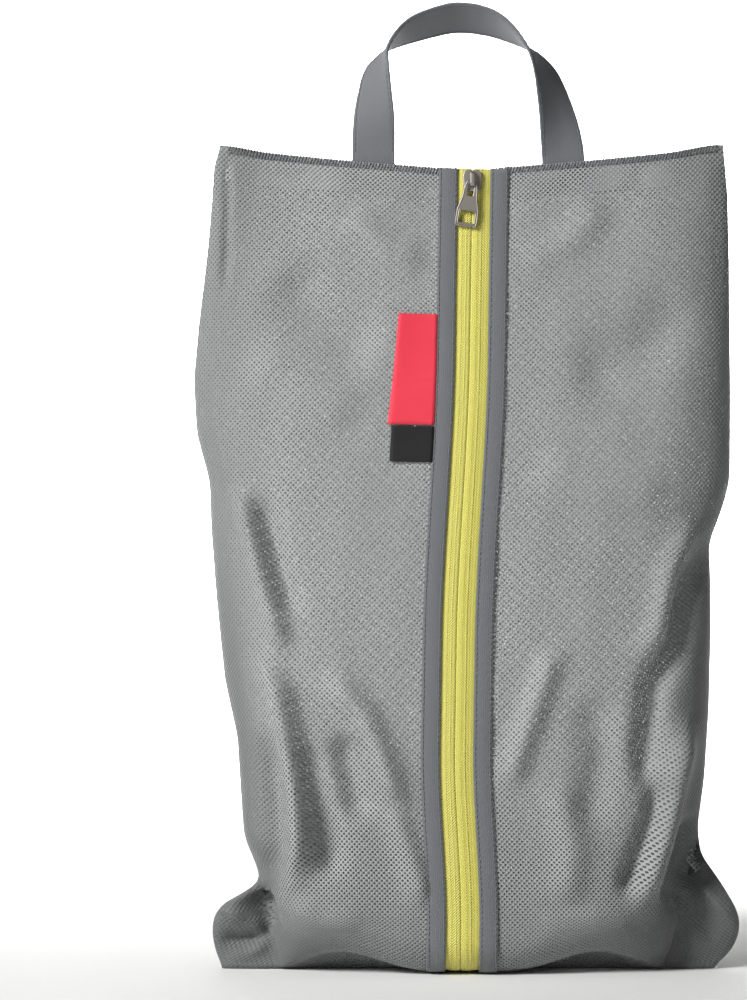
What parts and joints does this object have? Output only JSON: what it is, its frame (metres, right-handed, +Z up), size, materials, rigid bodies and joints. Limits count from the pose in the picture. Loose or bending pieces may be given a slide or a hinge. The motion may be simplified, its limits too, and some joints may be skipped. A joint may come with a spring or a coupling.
{
  "type": "shoe bag",
  "caption": "See-through mesh bag with a full-height front zip, a strap handle at the top seam and two side labels, standing in its filled shape.",
  "frame": {"origin": "on the floor, below the middle of the object's box", "axes": "+Z up along the bag's height, -Y out of the zipped front face, +X to the right of a person who looks at the front"},
  "size_m": [0.2632, 0.0942, 0.4724],
  "materials": {
    "mesh_fabric": "grey polyester tricot mesh, see-through, with a fine diamond pattern of holes",
    "webbing": "plain woven blue-grey polyester, edge-stitched",
    "zip_tape": "lime yellow herringbone polyester zip tape",
    "zip_coil": "lime yellow nylon coil",
    "slider_metal": "antique nickel plated zinc casting",
    "red_label": "folded red woven satin label with no lettering",
    "black_label": "folded black woven label with no print"
  },
  "bodies": {
    "bag": {"front_panel_left": "mesh_fabric", "front_panel_right": "mesh_fabric", "back_panel": "mesh_fabric", "top_hem_left": "mesh_fabric", "top_hem_right": "mesh_fabric", "top_hem_back": "mesh_fabric", "bottom_seam": "webbing", "side_seam_left": "webbing", "side_seam_right": "webbing"},
    "left_edge": {"binding_left": "webbing", "zip_tape_left": "zip_tape", "zip_coil_left": "zip_coil"},
    "right_edge": {"binding_right": "webbing", "zip_tape_right": "zip_tape", "zip_coil_right": "zip_coil"},
    "slider": {"slider_body": "slider_metal", "slider_bridge": "slider_metal"},
    "pull": {"pull_tab": "slider_metal"},
    "handle": {"handle_strap": "webbing"},
    "red_tag": {"red_label": "red_label"},
    "black_tag": {"black_label": "black_label"}
  },
  "joints": [
    {"name": "slider_travel", "type": "slide", "parent": "bag", "child": "slider", "axis": [-0.0175, -0.0958, -0.9952], "range_m": [0, 0.353]},
    {"name": "left_edge_open", "type": "slide", "parent": "bag", "child": "left_edge", "axis": [-1, 0, 0], "range_m": [0, 0.0213], "deforming": ["binding_left", "zip_tape_left", "zip_coil_left"]},
    {"name": "right_edge_open", "type": "slide", "parent": "bag", "child": "right_edge", "axis": [1, 0, 0], "range_m": [0, 0.0213], "deforming": ["binding_right", "zip_tape_right", "zip_coil_right"]},
    {"name": "pull_swing", "type": "hinge", "parent": "slider", "child": "pull", "pos_m": [0.00222, -0.01244, 0.38416], "axis": [-0.9945, 0.01, 0.1041], "range_deg": [0, 150]},
    {"name": "handle_fold", "type": "hinge", "parent": "bag", "child": "handle", "pos_m": [0, -0.0065, 0.39543], "axis": [1, 0, 0], "range_deg": [-90, 110]},
    {"name": "red_label_flip", "type": "hinge", "parent": "left_edge", "child": "red_tag", "pos_m": [-0.01754, -0.01825, 0.30086], "axis": [0.0175, 0.0958, 0.9952], "range_deg": [0, 120]},
    {"name": "black_label_flip", "type": "hinge", "parent": "left_edge", "child": "black_tag", "pos_m": [-0.01754, -0.01825, 0.30086], "axis": [0.0175, 0.0958, 0.9952], "range_deg": [0, 120]}
  ],
  "couplings": [
    {"joint": "left_edge_open", "follows": "slider_travel", "ratio": 0.06},
    {"joint": "right_edge_open", "follows": "slider_travel", "ratio": 0.06}
  ]
}
